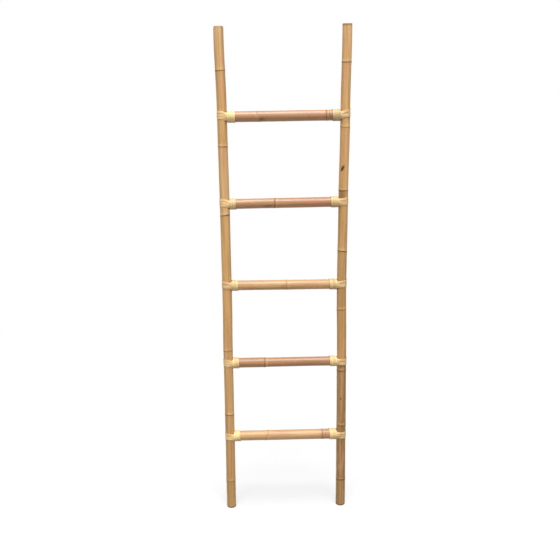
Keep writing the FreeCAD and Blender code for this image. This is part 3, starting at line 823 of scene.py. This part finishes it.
def collar_path(joint, side, first, wound, lap, chance):
    """The winding's inner face along its middle line, in the joint's own ways, and the way it faces."""
    turned = np.linspace(0, FULL_TURN * wound, TURN_POINTS * wound + 1)
    handed = 1 if side == "left" else -1
    turn = handed * PEEL_START + turned
    facing = np.stack([0 * turn, -np.cos(turn), handed * np.sin(turn)], -1)
    tilt = np.arccos(np.clip(np.abs(facing[:, 1]), 0, 1))
    over = np.clip((math.pi / 2 - tilt) / (math.pi / 2 - LEGS_REACH), 0, 1)
    over = over * over * (3 - 2 * over)
    turns = turned / FULL_TURN
    slack = np.interp(turns, np.arange(wound + 1), chance.uniform(0, 1, wound + 1))
    last = np.clip(turns - wound + LAST_TURN, 0, 1)
    radius = joint["bar"] + OVER_RUNG + (OVER_LEGS - OVER_RUNG) * over
    radius = radius + TIGHT * slack * (1 - over) + LAST_TURN_PROUD * last * (1 - over)
    lean = lap * over * (1 - turns / wound) * np.clip(turns / LEAN_IN, 0, 1)
    sway = np.interp(turns, np.arange(wound + 1), chance.uniform(-SWAY, SWAY, wound + 1))
    reach = first + WINDING_PITCH * turns - lean + sway
    path = np.stack([reach, radius * facing[:, 1], radius * facing[:, 2]], -1)
    for end, after in ((0, 1), (-1, -2)):
        way = path[end] - path[after]
        tail = path[end] + way / np.linalg.norm(way) * TAIL
        path = np.insert(path, 0 if end == 0 else len(path), tail, axis=0)
        facing = np.insert(facing, 0 if end == 0 else len(facing), facing[end], axis=0)
    return path, facing


collar_peel = split_peel(
    "collar_rattan_peel", "#E8CE95", "#D7B173", "#BC9054", "#F6E0B0", "#9C7440", "#704822"
)
for (side, level), joint in joints.items():
    chance = np.random.default_rng(COLLAR_SEED + 10 * level + SIDES.index(side))
    low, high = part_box(f"{side}_collar_{level}")
    wound = round((high.x - low.x - PEEL_WIDTH) / WINDING_PITCH)
    first = collar_ends[side, level] - WINDING_PITCH * wound - PEEL_WIDTH / 2
    lap = COLLAR_LAPS[side][level - 1] * MM
    path, facing = collar_path(joint, side, first, wound, lap, chance)
    places = np.concatenate([[0], np.cumsum(np.linalg.norm(np.diff(path, axis=0), axis=1))])
    knots = np.linspace(0, places[-1], TONES_PER_TURN * wound)
    tones = COLLAR_TONES[side][level - 1]
    tones += chance.uniform(-COLLAR_TONES_DIFFER, COLLAR_TONES_DIFFER, len(knots))
    tone = np.interp(places, knots, tones)
    marks = chance.uniform(0, FIRST_MARK) + np.array((0.0, MARKS_APART))
    rows, details = peel_strip(path, facing, places, PEEL_WIDTH, PEEL_THICKNESS, tone, marks)
    name = f"{side}_collar_{level}"
    piece = place_strip(f"{name}_peel", joint, rows, details, chance.uniform(*COLLAR_GRAIN))
    piece.data.materials.append(collar_peel)
    stand_for(piece, "peel", name)

# ---------------------------------------------------------------------------------------------
# Joint screws and collar brads. The screws are zinc-plated steel, sunk in the poles under the
# straps. The brads are cut from bright drawn steel wire. Both keep their frame shapes.

POLISHED, DULLED = 0.08, 0.12  # how much smoother and rougher than its usual finish a patch may be


def bare_metal(name, colour, dull, roughness, patch):
    """Plain steel fixings: a soft grey shine, duller in patches where they were handled."""
    material, tree = new_material(name)
    place = add(tree, "ShaderNodeTexCoord").outputs["Object"]
    patches = fibres(tree, place, patch, patch)
    tint = stain(tree, colour, dull, patches, 0.4, 0.65, 0.7)
    rough = {"Value": patches, "To Min": roughness - POLISHED, "To Max": roughness + DULLED}
    skin = {"Base Color": tint, "Metallic": 1.0}
    skin["Roughness"] = add(tree, "ShaderNodeMapRange", rough).outputs[0]
    shader = add(tree, "ShaderNodeBsdfPrincipled", skin)
    add(tree, "ShaderNodeOutputMaterial", {"Surface": shader.outputs[0]})
    return material


FIXINGS = {
    "joint_screws": bare_metal("zinc_plated_steel", "#C9C7B8", "#A39F8C", 0.34, 3 * MM),
    "collar_brads": bare_metal("drawn_steel_wire", "#BDBBB4", "#8E8A80", 0.28, 1.5 * MM),
}
for name, metal in FIXINGS.items():
    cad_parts[name].data.materials.clear()
    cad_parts[name].data.materials.append(metal)

# ---------------------------------------------------------------------------------------------
# Studio. A white floor, a wide soft lamp high above and a little in front, and white walls: the one
# in front of the ladder is lit well, the one behind it less, and those at its sides hardly.

FLOOR_RADIUS = 9.0
FLOOR_CORNERS = 96
FLOOR_DROP = 0.3 * MM
FLOOR_SHOWN = 0.33  # how much of the floor's own light and shadow shows in its white
FADE_FROM, FADE_TO = 1.2, 3.0  # the floor's shadows fade out between these distances
LAMP_PLACE = Vector((-0.1, -2.2, 10.6))
LAMP_AIM = Vector((0, 0, 0.9))
LAMP_SIZE = 5.5
LAMP_WATTS = 1430.0
ROOM_LIGHT, FRONT_LIGHT, BACK_LIGHT = 0.1, 1.68, 0.9
WALL_EDGE = 0.45  # how far off square to a wall its light ends

disc = bmesh.new()
bmesh.ops.create_circle(disc, cap_ends=True, segments=FLOOR_CORNERS, radius=FLOOR_RADIUS)
disc_mesh = bpy.data.meshes.new("floor")
disc.to_mesh(disc_mesh)
disc.free()
floor = bpy.data.objects.new("floor", disc_mesh)
floor.location.z = -FLOOR_DROP
bpy.context.scene.collection.objects.link(floor)

white_paint, tree = new_material("white_floor_paint")
place = add(tree, "ShaderNodeTexCoord").outputs["Object"]
distance = add(tree, "ShaderNodeVectorMath", {0: place}, operation="LENGTH").outputs["Value"]
fade = {"Value": distance, "From Min": FADE_FROM, "From Max": FADE_TO}
fade |= {"To Min": FLOOR_SHOWN, "To Max": 0.0}
shown = add(tree, "ShaderNodeMapRange", fade, interpolation_type="SMOOTHSTEP").outputs[0]
glow = add(tree, "ShaderNodeEmission", {"Color": linear("#FFFFFF"), "Strength": 1.0}).outputs[0]
lit = add(tree, "ShaderNodeBsdfDiffuse", {"Color": linear("#E8E8E8")}).outputs[0]
seen = add(tree, "ShaderNodeMixShader", {0: shown, 1: glow, 2: lit}).outputs[0]
bounced = add(tree, "ShaderNodeBsdfDiffuse", {"Color": linear("#565654")}).outputs[0]


def looked_at(tree):
    """One for rays from the camera, and for those that glossy or clear things send on."""
    rays = add(tree, "ShaderNodeLightPath").outputs
    pair = {0: rays["Is Camera Ray"], 1: rays["Is Glossy Ray"]}
    either = add(tree, "ShaderNodeMath", pair, operation="MAXIMUM").outputs[0]
    pair = {0: either, 1: rays["Is Transmission Ray"]}
    return add(tree, "ShaderNodeMath", pair, operation="MAXIMUM").outputs[0]


paint = add(tree, "ShaderNodeMixShader", {0: looked_at(tree), 1: bounced, 2: seen})
add(tree, "ShaderNodeOutputMaterial", {"Surface": paint.outputs[0]})
floor.data.materials.append(white_paint)

lamp = bpy.data.objects.new("lamp", bpy.data.lights.new("lamp", "AREA"))
lamp.data.size = LAMP_SIZE
lamp.data.energy = LAMP_WATTS
lamp.location = LAMP_PLACE
lamp.rotation_mode = "QUATERNION"
lamp.rotation_quaternion = (LAMP_AIM - LAMP_PLACE).to_track_quat("-Z", "Y")
bpy.context.scene.collection.objects.link(lamp)

world = bpy.data.worlds.new("studio")
bpy.context.scene.world = world
world.use_nodes = True
world.node_tree.nodes.clear()
tree = world.node_tree
way = add(tree, "ShaderNodeTexCoord").outputs["Generated"]
depth = add(tree, "ShaderNodeSeparateXYZ", {"Vector": way}).outputs["Y"]
walls = ROOM_LIGHT
for full, light in ((-1.0, FRONT_LIGHT), (1.0, BACK_LIGHT)):
    limits = {"Value": depth, "From Min": WALL_EDGE * full, "From Max": full}
    limits |= {"To Min": 0.0, "To Max": light}
    wall = add(tree, "ShaderNodeMapRange", limits, interpolation_type="SMOOTHSTEP").outputs[0]
    walls = add(tree, "ShaderNodeMath", {0: walls, 1: wall}, operation="ADD").outputs[0]
strength = {"Value": looked_at(tree), "To Min": walls, "To Max": 1.0}
strength = add(tree, "ShaderNodeMapRange", strength).outputs[0]
air = add(tree, "ShaderNodeBackground", {"Color": linear("#FFFFFF"), "Strength": strength})
add(tree, "ShaderNodeOutputWorld", {"Surface": air.outputs[0]})
bpy.context.scene.view_settings.view_transform = "Standard"
